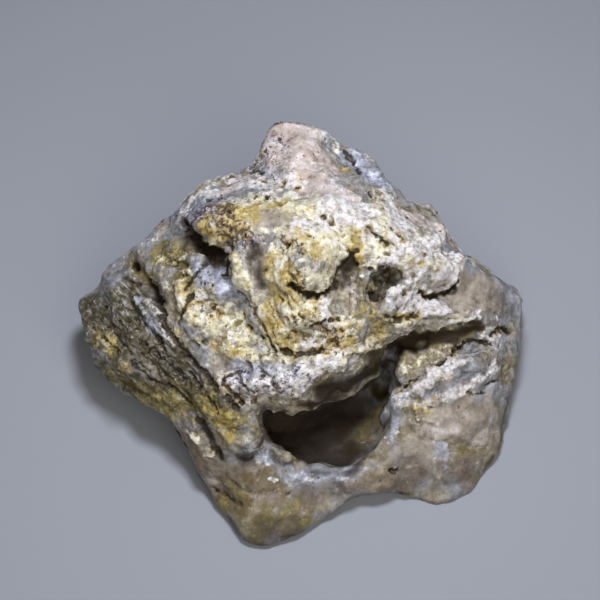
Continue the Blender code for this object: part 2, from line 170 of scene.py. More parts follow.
def spotAt(place):
    reach = cameraSetup["sensor"] / 2 / cameraSetup["lens"]
    middle = viewSize / 2
    across = (place[0] - middle) / middle * reach
    up = (middle - place[1]) / middle * reach
    ray = camera.matrix_world.to_quaternion() @ Vector((across, up, -1))
    hit = skinTree.ray_cast(camera.location, ray.normalized())[0]
    return None if hit is None else np.array(hit)


def spotsOn(places):
    found = [spotAt(place) for place in places]
    return [spot for spot in found if spot is not None]


tiny = 1e-12  # stands in for the length of a line that is one spot


def closeness(line, points, reach):
    # 1 on the line through these spots, falling to 0 at this reach in mm
    found = np.zeros(len(points))
    margin = reach * mm
    for start, end in zip(line, line[1:] or line):
        low = np.minimum(start, end) - margin
        high = np.maximum(start, end) + margin
        near = np.flatnonzero(((points > low) & (points < high)).all(axis=1))
        along = end - start
        offset = points[near] - start
        share = np.clip(offset @ along / max(along @ along, tiny), 0, 1)
        distance = np.linalg.norm(offset - share[:, None] * along, axis=1)
        found[near] = np.maximum(found[near], 1 - eased(distance / margin))
    return found


# Where each coat and each kind of ground shows: places, reach in mm, and strength
zones = {
    "chalk": [  # white lime
        ([(262, 182), (284, 178), (300, 190)], 1.8, 0.8),
        ([(262, 190), (272, 196)], 1.4, 0.8),
        ([(230, 179), (248, 178), (268, 184)], 1.8, 0.9),
        ([(206, 189), (213, 180)], 1.3, 0.7),
        ([(304, 128), (322, 134), (334, 148)], 1.3, 0.6),
        ([(318, 164), (332, 176), (342, 190)], 1.3, 0.7),
        ([(330, 200), (352, 206), (368, 210)], 2.0, 1.0),
        ([(342, 208), (362, 222), (372, 232)], 1.8, 0.9),
        ([(388, 204), (400, 222), (404, 244)], 2.6, 1.0),
        ([(398, 252), (394, 264)], 1.4, 0.8),
        ([(298, 228), (322, 224), (338, 214)], 2.2, 0.9),
        ([(298, 250), (316, 250)], 1.4, 0.6),
        ([(318, 226), (332, 232), (340, 246)], 1.5, 0.7),
        ([(412, 246), (436, 250), (452, 262)], 2.4, 1.0),
        ([(412, 272), (430, 270), (446, 272)], 2.0, 1.0),
        ([(420, 288), (438, 288), (452, 276)], 1.6, 1.0),
        ([(400, 300), (420, 304), (440, 310)], 2.0, 0.9),
        ([(188, 206), (200, 194)], 1.6, 0.7),
        ([(216, 238), (226, 248), (230, 262)], 1.2, 0.7),
        ([(196, 300), (206, 308)], 1.4, 0.7),
        ([(276, 258), (286, 270)], 1.2, 0.6),
        ([(252, 306), (262, 330)], 1.2, 0.7),
        ([(322, 306), (334, 322)], 1.4, 0.8),
        ([(312, 342), (330, 350), (346, 352)], 1.4, 0.9),
        ([(228, 382), (256, 384), (292, 380)], 1.7, 0.85),
        ([(116, 264), (134, 248), (152, 238)], 1.4, 0.5),
        ([(248, 396), (276, 393), (304, 382)], 1.7, 1.0),
        ([(296, 380), (314, 371), (340, 355)], 1.3, 0.95),
        ([(398, 392), (424, 384), (444, 370), (458, 360)], 1.2, 1.05),
        ([(404, 404), (440, 400), (468, 386), (494, 366)], 1.0, 1.05),
        ([(486, 326), (498, 340)], 1.6, 0.6),
        ([(424, 321), (452, 322), (478, 316)], 0.8, 1.0),
        ([(392, 340), (402, 331), (426, 324)], 0.7, 0.9),
        ([(150, 300), (162, 318), (176, 344)], 0.9, 0.6),
        ([(256, 446), (266, 464), (276, 478)], 0.8, 0.5),
        ([(286, 472), (312, 478), (350, 474)], 1.0, 0.4),
        ([(388, 404), (394, 428)], 1.0, 0.5),
    ],
    "cream": [  # pale yellow lime
        ([(226, 224), (258, 206), (300, 204), (352, 236)], 4.4, 0.8),
        ([(300, 272), (320, 280), (332, 270)], 1.6, 0.65),
        ([(214, 232), (232, 252), (240, 286)], 2.4, 0.9),
        ([(296, 232), (322, 236), (342, 244)], 3.6, 1.0),
        ([(276, 262), (288, 288), (306, 306)], 3.0, 0.9),
        ([(196, 300), (226, 322), (252, 342)], 4.4, 0.8),
        ([(262, 316), (300, 336), (336, 340)], 4.4, 0.8),
        ([(372, 290), (374, 344)], 2.4, 0.7),
        ([(378, 214), (402, 256), (446, 262)], 4.0, 0.8),
        ([(160, 258), (188, 257)], 0.7, 0.6),
        ([(160, 272), (188, 272)], 0.7, 0.42),
        ([(158, 284), (186, 282)], 0.7, 0.6),
        ([(188, 298), (200, 310)], 2.2, 0.8),
        ([(398, 320), (428, 318), (462, 318)], 1.6, 0.8),
        ([(400, 366), (426, 360), (452, 352)], 1.2, 0.45),
        ([(240, 438), (256, 446)], 1.0, 0.4),
        ([(194, 434), (210, 450)], 1.4, 0.4),
    ],
    "ochre": [  # iron stain
        ([(202, 228), (214, 218), (240, 212), (250, 216)], 2.0, 1.0),
        ([(222, 238), (236, 226)], 1.8, 0.9),
        ([(262, 206), (280, 202)], 1.2, 1.0),
        ([(274, 124), (288, 132)], 0.7, 0.8),
        ([(341, 170), (351, 169)], 0.7, 1.0),
        ([(294, 180), (306, 176)], 0.8, 0.8),
        ([(368, 197), (384, 203)], 0.8, 0.8),
        ([(292, 216), (296, 222)], 1.2, 0.7),
        ([(306, 238), (312, 250), (312, 264)], 1.2, 0.8),
        ([(290, 262), (286, 284)], 1.6, 0.9),
        ([(272, 262), (276, 296)], 1.6, 0.9),
        ([(300, 300), (312, 312)], 1.2, 0.6),
        ([(270, 322), (284, 344)], 2.0, 0.9),
        ([(350, 190), (358, 196)], 0.8, 0.9),
        ([(356, 240), (358, 262)], 1.8, 0.9),
        ([(346, 342), (352, 350)], 1.2, 1.0),
        ([(172, 246), (190, 254)], 1.6, 0.6),
        ([(158, 268), (184, 274)], 1.4, 0.45),
        ([(186, 290), (194, 312)], 1.4, 0.6),
        ([(418, 264), (446, 266)], 1.6, 0.6),
        ([(396, 318), (414, 315)], 0.9, 1.0),
        ([(370, 310), (380, 332)], 1.8, 0.7),
        ([(404, 356), (420, 362)], 1.2, 0.35),
        ([(212, 406), (224, 424), (232, 434)], 2.2, 0.85),
        ([(176, 334), (210, 342), (244, 346)], 1.2, 0.7),
        ([(218, 354), (242, 350)], 0.8, 0.9),
        ([(102, 338), (114, 356), (124, 370)], 1.7, 0.8),
        ([(136, 352), (160, 372)], 1.0, 0.4),
        ([(412, 408), (434, 404)], 1.4, 0.7),
    ],
    "rose": [  # pinkish silica, nearly bare
        ([(268, 134), (290, 130), (312, 138)], 2.6, 1.0),
        ([(276, 150), (300, 152), (322, 164)], 3.2, 1.0),
        ([(296, 172), (318, 180)], 2.2, 0.9),
        ([(312, 188), (330, 193), (348, 198)], 2.0, 1.0),
        ([(214, 196), (228, 190), (244, 184)], 1.8, 0.45),
        ([(330, 216), (346, 222)], 1.4, 0.8),
        ([(416, 222), (436, 232)], 2.6, 0.8),
        ([(344, 280), (350, 300)], 1.0, 0.5),
        ([(436, 428), (480, 436)], 3.0, 0.4),
    ],
    "violet": [  # grey-violet silica in specks
        ([(198, 214), (212, 207), (226, 214)], 2.4, 1.1),
        ([(222, 226), (236, 234), (250, 241)], 2.0, 1.1),
        ([(294, 274), (300, 284)], 1.4, 1.0),
        ([(282, 242), (300, 250)], 1.4, 0.7),
        ([(210, 306), (226, 330), (246, 352)], 2.4, 0.48),
        ([(316, 326), (334, 346)], 2.0, 0.7),
        ([(234, 386), (262, 388), (296, 378)], 2.8, 0.62),
        ([(200, 284), (214, 272)], 1.4, 0.5),
        ([(246, 168), (266, 164)], 2.0, 0.7),
        ([(276, 138), (284, 150), (270, 158)], 1.8, 0.68),
        ([(248, 168), (262, 176), (282, 184)], 1.6, 0.62),
        ([(92, 306), (116, 314)], 2.0, 0.5),
    ],
    "silica": [  # smooth bare patches
        ([(262, 216), (296, 222)], 2.0, 1.0),
        ([(258, 250), (262, 286)], 1.7, 1.0),
        ([(226, 364), (236, 374)], 2.0, 1.0),
        ([(346, 276), (352, 298)], 1.2, 0.8),
        ([(108, 272), (136, 246), (158, 232)], 2.6, 0.8),
        ([(444, 414), (484, 424)], 4.0, 1.0),
        ([(416, 446), (440, 462)], 3.2, 1.0),
        ([(448, 286), (486, 294)], 3.6, 0.9),
        ([(192, 456), (216, 484)], 2.6, 0.5),
        ([(300, 512), (330, 500), (360, 486)], 2.0, 0.5),
        ([(430, 372), (460, 376)], 1.2, 0.6),
    ],
    "olive": [  # greenish brown film
        ([(120, 376), (150, 396), (196, 404)], 3.4, 0.9),
        ([(206, 398), (236, 424)], 3.0, 0.8),
        ([(134, 262), (152, 280)], 2.4, 0.9),
        ([(164, 250), (184, 262), (182, 288)], 2.6, 1.0),
        ([(368, 374), (382, 352), (382, 394)], 2.0, 0.9),
        ([(250, 474), (278, 484)], 1.8, 0.9),
        ([(358, 446), (370, 430), (382, 408)], 2.2, 1.0),
        ([(408, 408), (438, 404)], 1.6, 0.9),
        ([(402, 430), (414, 438)], 1.8, 0.8),
        ([(446, 448), (478, 452)], 1.8, 0.7),
        ([(226, 498), (272, 498)], 3.4, 0.9),
        ([(262, 524), (290, 522), (312, 508)], 3.2, 0.9),
        ([(196, 484), (214, 512), (234, 536)], 2.2, 0.8),
        ([(262, 310), (284, 346)], 1.8, 0.8),
        ([(366, 290), (374, 344)], 2.2, 0.7),
        ([(400, 340), (440, 336), (474, 328)], 2.4, 0.95),
        ([(350, 330), (362, 306), (364, 284)], 1.6, 0.6),
        ([(398, 366), (426, 356), (452, 346)], 2.0, 0.55),
    ],
    "rib": [  # dark ribbed ground
        ([(88, 306), (104, 326), (122, 350)], 4.4, 0.8),
        ([(126, 300), (156, 340), (186, 376)], 4.0, 1.0),
        ([(96, 366), (140, 384), (180, 396)], 3.4, 0.7),
        ([(190, 372), (214, 398)], 2.0, 0.8),
    ],
    "warm": [  # clear silica, brownish pink
        ([(440, 420), (484, 424)], 5.4, 0.9),
        ([(416, 462), (462, 470)], 4.0, 0.9),
        ([(446, 290), (496, 300)], 4.0, 0.8),
        ([(190, 440), (216, 484)], 4.4, 0.9),
        ([(284, 524), (310, 514)], 3.0, 0.6),
        ([(346, 280), (352, 300)], 1.4, 0.8),
        ([(376, 486), (412, 484)], 2.4, 0.9),
        ([(262, 490), (300, 496), (350, 486)], 2.6, 0.8),
        ([(238, 470), (262, 482)], 2.4, 0.8),
    ],
    "blue": [  # milky blue-grey silica
        ([(202, 272), (222, 272), (230, 290)], 2.6, 1.0),
        ([(240, 300), (262, 346)], 1.6, 0.7),
        ([(240, 168), (266, 166)], 2.4, 0.7),
        ([(352, 158), (376, 184)], 3.4, 0.9),
        ([(240, 376), (266, 382), (294, 378)], 2.8, 1.0),
        ([(264, 452), (288, 470)], 1.6, 0.8),
        ([(438, 444), (442, 470)], 1.2, 0.8),
        ([(288, 476), (330, 478), (374, 468)], 1.6, 0.7),
        ([(390, 404), (394, 428), (388, 442)], 1.0, 0.8),
        ([(140, 302), (164, 336)], 1.6, 0.7),
        ([(440, 300), (430, 310)], 1.4, 0.6),
        ([(486, 340), (496, 370)], 1.8, 0.6),
        ([(196, 208), (206, 202)], 1.4, 0.6),
        ([(196, 276), (206, 286)], 1.2, 0.9),
        ([(112, 264), (132, 250), (152, 236)], 2.4, 0.85),
        ([(430, 398), (452, 393), (470, 380)], 2.0, 0.7),
        ([(446, 424), (470, 416), (492, 420)], 1.6, 0.5),
    ],
    "shade": [  # painted shade: dark brown where shadows fall, in the mouth, the slots and cracks, and under the ledges and the lip
        ([(282, 420), (322, 430), (344, 412)], 5.0, 1.0),
        ([(270, 434), (300, 452), (330, 460), (350, 452)], 3.6, 1.0),
        ([(194, 238), (208, 250), (222, 261)], 2.1, 1.0),
        ([(291, 286), (308, 295), (325, 294), (334, 286)], 0.5, 0.95),
        ([(372, 276), (394, 273), (386, 290)], 1.6, 0.6),
        ([(374, 296), (380, 300)], 1.4, 1.0),
        ([(256, 250), (261, 266), (262, 284)], 1.2, 0.75),
        ([(258, 438), (284, 463), (322, 475), (350, 472), (374, 448), (387, 420)], 0.9, 0.7),
        ([(392, 344), (412, 337), (446, 333), (478, 325)], 1.5, 1.0),
        ([(404, 350), (430, 345), (452, 338)], 1.1, 0.95),
        ([(424, 327), (450, 328), (474, 322)], 0.6, 0.8),
        ([(351, 259), (345, 270), (338, 284)], 1.3, 1.0),
        ([(326, 391), (346, 385), (372, 370)], 2.3, 1.0),
        ([(306, 402), (334, 397), (366, 387)], 1.2, 0.9),
        ([(138, 266), (132, 264)], 0.9, 0.8),
        ([(150, 284), (157, 298), (160, 306)], 1.0, 0.8),
        ([(506, 334), (514, 372), (508, 410)], 1.8, 0.35),
        ([(404, 494), (460, 498)], 1.6, 0.7),
        ([(508, 404), (502, 440), (484, 468)], 1.3, 0.6),
        ([(424, 295), (438, 296), (450, 291), (458, 280)], 0.5, 0.85),
        ([(130, 390), (168, 386), (200, 394)], 1.8, 0.45),
        ([(366, 368), (378, 354), (384, 366), (376, 392)], 1.6, 0.8),
        ([(180, 440), (200, 490), (232, 522)], 1.0, 0.6),
        ([(240, 459), (256, 457)], 1.0, 0.6),
        ([(236, 530), (262, 540), (296, 534)], 2.4, 0.6),
        ([(84, 352), (96, 372)], 2.0, 0.6),
    ],
    "smooth": [  # ground that the wind has polished
        ([(276, 132), (306, 146), (326, 170)], 3.2, 0.6),
        ([(300, 184), (340, 196)], 2.4, 0.8),
        ([(258, 218), (300, 220)], 2.0, 0.7),
        ([(214, 196), (236, 188)], 2.0, 0.7),
        ([(180, 440), (210, 480), (250, 520), (300, 510)], 8.0, 1.0),
        ([(300, 490), (380, 484), (440, 480)], 6.0, 1.0),
        ([(400, 450), (450, 430), (490, 430)], 7.0, 1.0),
        ([(440, 290), (500, 300)], 5.0, 0.8),
        ([(110, 270), (150, 236)], 3.0, 0.6),
        ([(306, 240), (320, 254), (318, 276)], 2.8, 0.45),
        ([(330, 430), (366, 420)], 8.0, 0.8),
    ],
}

# Where each zone turns up on the other sides: patch size, lowest and highest ground in mm, and its share
spread = {
    "chalk": (5.0, 12, 40, 0.38), "cream": (8.0, 9, 40, 0.5), "ochre": (4.5, 2, 24, 0.28),
    "violet": (5.5, 8, 40, 0.28), "rose": (6.0, 12, 40, 0.3), "silica": (7.0, -5, 40, 0.46),
    "olive": (8.0, -5, 14, 0.5), "rib": (9.0, 1, 18, 0.36), "warm": (8.0, -5, 13, 0.5),
    # the shade zone's patches are painted shade, low down on the sides and the back
    "blue": (7.0, 6, 40, 0.3), "shade": (6.0, -5, 8, 0.3), "smooth": (10.0, -5, 10, 0.55),
}

zoneSetup = {
    "ragged": (2.2, 0.9),  # size and most of the wander of the edges, in mm
    "widen": 1.5,  # times each reach
    "patchStart": 0.35,
    "patchFade": 0.3,
    "heightFade": 5,  # mm
    "faceTurn": 0.45,  # ground that looks at the camera more squarely than this is on the show face
}
softNoise = {"falloff": 1, "gap": 2, "octaves": 2, "seedStep": 17.3}


def eachPoint(points, size, seed):
    # soft noise at every point, from about -1 to 1
    shape = softNoise["falloff"], softNoise["gap"], softNoise["octaves"]
    spots = (points / mm / size + seed * softNoise["seedStep"]).tolist()
    return np.array([noise.fractal(spot, *shape, noise_basis="PERLIN_ORIGINAL") for spot in spots])


def jostled(points, size, most):
    # the points moved about at random, so that what is drawn from them has ragged edges
    moves = [eachPoint(points, size, seed) for seed in (1, 2, 3)]
    return points + np.stack(moves, axis=1) * most * mm


def awayFromFace(normals):
    # 0 on the show face, 1 on the sides and the back
    towards = np.array(camera.matrix_world.to_quaternion() @ Vector((0, 0, 1)))
    return 1 - eased((normals @ towards) / zoneSetup["faceTurn"])


def addAttribute(piece, name, values):
    attribute = piece.data.attributes.new(name, "FLOAT", "POINT")
    attribute.data.foreach_set("value", values.astype(np.float32))


def addGroup(piece, name, strength):
    group = piece.vertex_groups.new(name=name)
    levels = 20  # strengths are rounded to twentieths, so that points are added in few goes
    steps = np.rint(strength * levels).astype(int)
    for step in range(1, levels + 1):
        group.add(np.flatnonzero(steps == step).tolist(), step / levels, "REPLACE")


def layZones(piece, setup):
    # strength of each zone at each point, from 0 to 1, kept as an attribute of its name
    points = pointsOf(piece)
    ragged = jostled(points, *setup["ragged"])
    away = awayFromFace(pointsOf(piece, "normal"))
    height = points[:, 2] / mm
    strengths = {}
    for seed, name in enumerate(zones):
        strength = np.zeros(len(points))
        for places, reach, most in zones[name]:
            line = spotsOn(places)
            if line:
                strength = np.maximum(strength, most * closeness(line, ragged, setup["widen"] * reach))
        size, lowest, highest, share = spread[name]
        patches = eased((eachPoint(points, size, seed) + share - setup["patchStart"]) / setup["patchFade"])
        patches *= eased((height - lowest) / setup["heightFade"]) * eased((highest - height) / setup["heightFade"])
        strengths[name] = np.maximum(strength, patches * away)
        addAttribute(piece, name, strengths[name])
    return strengths


crust = {
    "bare": 0.25,  # how crusted the ground is without lime
    "limed": 0.5,  # and what each kind of lime adds
    "leastBroken": 0.12,
}

ground = layZones(stone, zoneSetup)
calm = np.maximum(ground["silica"], ground["smooth"])
crusted = crust["bare"] + crust["limed"] * ground["chalk"] + crust["limed"] * ground["cream"] - calm
addGroup(stone, "crusted", np.clip(crusted, 0, 1))
addGroup(stone, "grainy", np.clip(ground["chalk"] - calm, 0, 1))
addGroup(stone, "ribbed", ground["rib"])
addGroup(stone, "broken", np.clip(1 - calm, crust["leastBroken"], 1))
print("zones are laid out")

# Weathered relief, broad to fine: where, kind, size and height in mm, and settings
reliefLayers = [
    ("broken", "MUSGRAVE", 3.2, 0.22, {"musgrave_type": "RIDGED_MULTIFRACTAL", "octaves": 3}),
    ("crusted", "CLOUDS", 1.2, 0.26, {"noise_depth": 2, "noise_type": "HARD_NOISE"}),
    ("crusted", "CLOUDS", 0.65, 0.24, {"noise_depth": 1}),
    ("grainy", "VORONOI", 0.6, -0.22, {"distance_metric": "DISTANCE"}),
]

# Flat broken facets, each at its own slant, in mm
chips = {"size": 2.2, "depth": 0.3, "seedStep": 97, "lessWhereCalm": 0.85}


def displaceBy(piece, group, kind, size, height, settings):
    texture = bpy.data.textures.new(f"{group} {kind.lower()}", kind)
    texture.noise_scale = size * mm
    for key, value in settings.items():
        setattr(texture, key, value)
    applyModifier(piece, "DISPLACE", texture=texture, texture_coords="LOCAL", mid_level=0.5,
                  strength=height * mm, vertex_group=group)


def chipFacets(piece, strength, setup):
    points = pointsOf(piece)
    normals = pointsOf(piece, "normal")
    moves = []
    for spot in (points / mm / setup["size"]).tolist():
        centre = noise.voronoi(spot)[1][0]
        slant = noise.cell_vector(centre * setup["seedStep"]) - Vector((0.5, 0.5, 0.5))
        moves.append(slant.dot(Vector(spot) - centre))
    height = np.array(moves) * 2 * setup["depth"] * strength  # a slant is at most a half
    setPoints(piece, points + height[:, None] * mm * normals)


chipFacets(stone, 1 - chips["lessWhereCalm"] * calm, chips)
for layer in reliefLayers:
    displaceBy(stone, *layer)


# Ribs run along the left flank, from the first place to the second. Sizes and heights are in mm.
ribs = {"from": (150, 330), "to": (205, 386), "sizes": (0.9, 0.45), "stretch": 9, "heights": (0.35, 0.25)}


def ribTurn(setup):
    along = Vector(spotAt(setup["to"]) - spotAt(setup["from"]))
    return along.to_track_quat("X", "Z").to_euler()


def addRibs(piece, setup):
    bpy.ops.object.empty_add(rotation=ribTurn(setup))
    guide = bpy.context.object
    guide.scale = (setup["stretch"], 1, 1)
    bpy.context.view_layer.update()
    for size, height in zip(setup["sizes"], setup["heights"]):
        texture = bpy.data.textures.new("ribs", "CLOUDS")
        texture.noise_scale = size * mm
        applyModifier(piece, "DISPLACE", texture=texture, texture_coords="OBJECT",
                      texture_coords_object=guide, mid_level=0.5, strength=height * mm, vertex_group="ribbed")
    bpy.data.objects.remove(guide)


addRibs(stone, ribs)
print("relief is on the skin")


# Cracks, ledges and folds: places, width in mm, depth in mm. Above 0 it stands out.
carving = {
    "knobCrack": ([(290, 286), (298, 290), (308, 295), (318, 296), (327, 293), (333, 287)], 1.1, -1.5),
    "knobSideCrack": ([(335, 284), (337, 273), (343, 265), (351, 258), (356, 249)], 1.2, -0.6),
    "noseEdge": ([(227, 262), (232, 276), (239, 291), (247, 302), (257, 314), (264, 328), (270, 344),
                  (275, 354)], 0.9, -0.5),
    "noseShoulder": ([(236, 258), (241, 274), (249, 288), (258, 300)], 1.8, 0.35),
    "slotDeep": ([(198, 243), (209, 251), (222, 261)], 3.0, -1.7),
    "slotHead": ([(181, 220), (189, 227), (197, 234), (205, 241)], 1.3, -0.9),
    "browEdge": ([(206, 238), (216, 243), (224, 250), (230, 260)], 1.2, 0.5),
    "starCrack": ([(310, 327), (318, 323), (327, 321), (340, 318)], 0.8, -0.6),
    "starCrackLeg": ([(320, 325), (327, 332), (333, 339), (339, 347)], 0.7, -0.5),
    "starCrackLeft": ([(300, 314), (306, 318), (313, 323)], 0.7, -0.4),
    "fluteDark": ([(288, 340), (292, 332), (300, 334), (308, 336)], 1.0, -0.35),
    "lipRecess": ([(285, 351), (294, 355), (305, 354), (317, 352), (323, 349)], 1.0, -0.7),
    "lipWedge": ([(223, 379), (231, 374), (239, 371), (248, 369)], 0.8, -0.6),
    "lipEnd": ([(221, 380), (228, 388), (236, 396), (243, 403)], 0.9, -0.7),
    "lipCleftA": ([(258, 366), (266, 372), (272, 381), (276, 392)], 0.8, -0.45),
    "lipCleftB": ([(293, 360), (292, 370), (297, 378)], 0.7, -0.35),
    "lipCleftC": ([(238, 376), (244, 386), (252, 392), (256, 402)], 0.8, -0.45),
    "lipCrest": ([(252, 358), (275, 360), (296, 356), (318, 357), (342, 354), (362, 349)], 1.4, 0.35),
    "rightKnobUnder": ([(419, 292), (427, 296), (437, 296), (445, 293), (453, 289), (458, 281)], 0.9, -0.9),
    "rightKnobRim": ([(428, 291), (438, 291), (447, 286), (454, 280), (457, 271), (453, 263)], 1.0, 0.4),
    "eyeBrowRidge": ([(362, 268), (371, 262), (382, 260), (394, 258), (403, 250)], 1.2, 0.4),
    "eyeBridge": ([(364, 262), (363, 275), (362, 290), (362, 305)], 1.2, 0.45),
    "eyeFloor": ([(386, 274), (395, 278), (391, 286)], 3.8, 0.9),
    "eyeLeftWall": ([(368, 266), (369, 278), (371, 288)], 1.6, 0.6),
    "eyeRibA": ([(374, 268), (379, 278), (385, 288)], 0.9, 0.5),
    "eyeRibB": ([(384, 266), (390, 276), (396, 284)], 0.8, 0.4),
    "eyeLowerRim": ([(384, 300), (392, 294), (401, 288)], 1.6, 0.6),
    "eyeUnderPit": ([(386, 316), (391, 319), (396, 317)], 0.9, -0.6),
    "browCrackA": ([(368, 228), (376, 236), (384, 243), (392, 244)], 0.9, -0.5),
    "browCrackB": ([(392, 228), (398, 234), (402, 239)], 0.9, -0.5),
    "browRidgeLine": ([(352, 222), (368, 222), (384, 230), (398, 240), (412, 246)], 1.1, 0.4),
    "ledgeSlot": ([(397, 320), (405, 318), (413, 315), (418, 314)], 1.1, -0.6),
    "ledgeLip": ([(436, 320), (446, 322), (458, 320), (470, 318), (480, 316)], 1.0, 0.4),
    "ledgeHollow": ([(402, 330), (415, 328), (430, 328), (445, 327), (460, 325), (474, 321)], 1.2, -0.3),
    "ledgeLowerLip": ([(390, 339), (397, 332), (408, 328), (421, 326), (432, 322)], 0.9, 0.35),
    "wingCrackLow": ([(390, 396), (398, 392), (405, 387), (411, 381), (419, 376)], 0.8, -0.55),
    "wingCrackHigh": ([(438, 364), (446, 359), (453, 354), (458, 347), (466, 343), (480, 342),
                       (490, 344)], 1.0, -0.8),
    "wingLump": ([(444, 349), (450, 345), (455, 341)], 2.2, 0.5),
    "wingGrainLow": ([(393, 400), (404, 394), (416, 387), (428, 380), (442, 374), (455, 364),
                      (470, 359)], 1.3, 0.3),
    "wingGrainHigh": ([(437, 404), (452, 400), (463, 393), (472, 384), (483, 378), (494, 368)], 1.4, 0.35),
    "wingGrainUnder": ([(466, 392), (475, 395), (485, 393)], 0.8, -0.5),
    "wingGrainSide": ([(486, 387), (493, 381), (500, 377)], 0.8, -0.5),
    "wingThreadA": ([(415, 404), (417, 416), (420, 427), (423, 438)], 0.7, 0.35),
    "wingThreadB": ([(399, 411), (407, 418), (414, 424)], 0.7, 0.3),
    "wingThreadC": ([(418, 420), (429, 421), (437, 425)], 0.7, 0.3),
    "wingDent": ([(408, 428), (414, 433)], 2.4, -0.35),
    "wingEdgeCrack": ([(491, 335), (497, 330), (505, 329), (509, 332)], 1.1, -0.8),
    "wingFold": ([(450, 440), (462, 443), (474, 448)], 1.4, -0.3),
    "wingSeam": ([(441, 455), (446, 468), (453, 480)], 0.9, -0.2),
    "rimPit": ([(391, 472), (397, 470)], 1.0, -0.6),
    "legKnobUnder": ([(236, 457), (243, 460), (251, 458), (257, 452)], 1.0, -0.4),
    "legKnobRim": ([(233, 448), (241, 452), (250, 449), (257, 441)], 1.4, 0.35),
    "legFold": ([(200, 420), (208, 434), (214, 446), (220, 458)], 2.0, -0.5),
    "legFoldEdge": ([(192, 434), (202, 452), (214, 472), (228, 486)], 1.8, 0.35),
    "legGroove": ([(200, 482), (214, 490), (228, 497), (240, 505)], 1.3, -0.4),
    "legBand": ([(226, 478), (240, 490), (258, 494), (276, 491)], 1.4, -0.3),
    "rimStripe": ([(262, 450), (268, 464), (275, 480)], 1.0, 0.25),
    "flankValley": ([(160, 316), (168, 330), (178, 344), (188, 356), (199, 369), (212, 384), (227, 398),
                     (238, 410)], 1.3, -0.55),
    "flankCreaseA": ([(129, 300), (136, 310), (145, 322), (154, 334), (162, 344)], 0.9, -0.45),
    "flankRibA": ([(135, 297), (143, 308), (152, 321), (160, 333)], 1.0, 0.55),
    "flankRibB": ([(152, 316), (160, 326), (167, 336)], 0.8, 0.4),
    "flankCreaseB": ([(140, 340), (152, 351), (165, 362), (177, 373), (186, 383)], 0.9, -0.5),
    "flankCreaseC": ([(100, 334), (110, 344), (121, 354), (134, 365), (148, 378)], 0.9, -0.5),
    "flankCreaseD": ([(150, 379), (163, 384), (176, 389), (188, 402)], 0.8, -0.5),
    "flankCreaseE": ([(190, 373), (199, 385), (208, 398), (218, 412)], 0.9, -0.6),
    "flankRibC": ([(186, 383), (191, 394), (196, 405), (202, 416)], 0.7, 0.4),
    "flankRibD": ([(120, 372), (138, 385), (156, 396), (172, 404)], 1.4, 0.35),
    "cheekSlotTail": ([(150, 279), (156, 290), (161, 302), (164, 314)], 1.2, -0.8),
    "cheekFold": ([(179, 321), (184, 311), (189, 301), (193, 294)], 0.9, -0.6),
    "cheekRibA": ([(170, 257), (179, 259), (189, 257)], 0.8, 0.3),
    "cheekRibB": ([(162, 270), (175, 269), (189, 272)], 0.8, 0.35),
    "cheekRibC": ([(160, 283), (172, 284), (185, 279)], 0.8, 0.3),
    "cheekDipA": ([(164, 264), (176, 264), (188, 265)], 0.9, -0.35),
    "cheekDipB": ([(162, 277), (174, 277), (186, 275)], 0.9, -0.35),
    "cheekCrease": ([(122, 276), (131, 282), (142, 285)], 0.9, -0.5),
    "lumpCrease": ([(186, 290), (192, 280), (199, 270), (206, 263)], 0.9, -0.5),
    "crownCrackA": ([(216, 174), (228, 176), (240, 174), (252, 170), (262, 172)], 0.9, -0.5),
    "crownCrackB": ([(308, 148), (313, 152), (316, 156)], 0.6, -0.4),
    "crownCrackC": ([(341, 170), (349, 170), (354, 168)], 0.7, -0.4),
    "shoulderEdge": ([(343, 148), (352, 160), (360, 172), (367, 183)], 1.2, -0.6),
}

pits = [  # place, width in mm, depth in mm
    (221, 198, 1.0, 0.9), (209, 200, 0.9, 0.7), (228, 211, 0.9, 0.8), (233, 215, 0.7, 0.6), (256, 197, 0.9, 1.0),
    (258, 204, 0.8, 0.8), (267, 198, 0.8, 0.8), (280, 204, 0.9, 0.9), (284, 183, 0.9, 0.8), (297, 188, 0.8, 0.6),
    (372, 195, 1.3, 1.1), (383, 200, 0.9, 0.9), (357, 193, 0.8, 0.6), (324, 217, 0.8, 0.7), (331, 223, 0.8, 0.7),
    (309, 235, 0.7, 0.5), (289, 245, 1.1, 0.9), (299, 250, 0.8, 0.7), (303, 253, 0.6, 0.5), (297, 276, 0.7, 0.5),
    (230, 229, 0.8, 0.6), (245, 236, 0.8, 0.6), (251, 241, 0.9, 0.7), (222, 225, 0.7, 0.5), (262, 240, 0.7, 0.4),
    (386, 245, 0.8, 0.6), (397, 233, 0.9, 0.8), (404, 238, 0.7, 0.5), (408, 219, 0.7, 0.5), (405, 294, 0.9, 0.8),
    (371, 269, 0.7, 0.6), (213, 286, 0.9, 0.6), (204, 284, 0.7, 0.4), (213, 307, 0.9, 0.7), (221, 313, 0.8, 0.6),
    (251, 327, 0.9, 0.8), (245, 317, 0.7, 0.5), (262, 337, 0.7, 0.5), (331, 343, 0.8, 0.7), (341, 330, 0.7, 0.5),
    (304, 319, 0.7, 0.5), (195, 317, 0.6, 0.4), (136, 267, 1.4, 1.3), (106, 307, 1.0, 0.8), (188, 232, 0.9, 0.8),
    (195, 240, 1.0, 0.9), (288, 494, 0.6, 0.4), (247, 380, 0.8, 0.6), (262, 376, 0.8, 0.6), (270, 399, 0.7, 0.5),
    (296, 370, 0.7, 0.5), (256, 392, 0.7, 0.5), (240, 392, 0.7, 0.5), (280, 138, 0.8, 0.5), (265, 150, 0.8, 0.5),
    (276, 147, 0.6, 0.4), (264, 180, 0.8, 0.5), (303, 178, 0.6, 0.4), (310, 176, 0.6, 0.4), (440, 231, 0.7, 0.4),
    (424, 255, 0.7, 0.5), (436, 284, 0.6, 0.4), (265, 270, 0.8, 0.4), (349, 250, 0.7, 0.5),
]

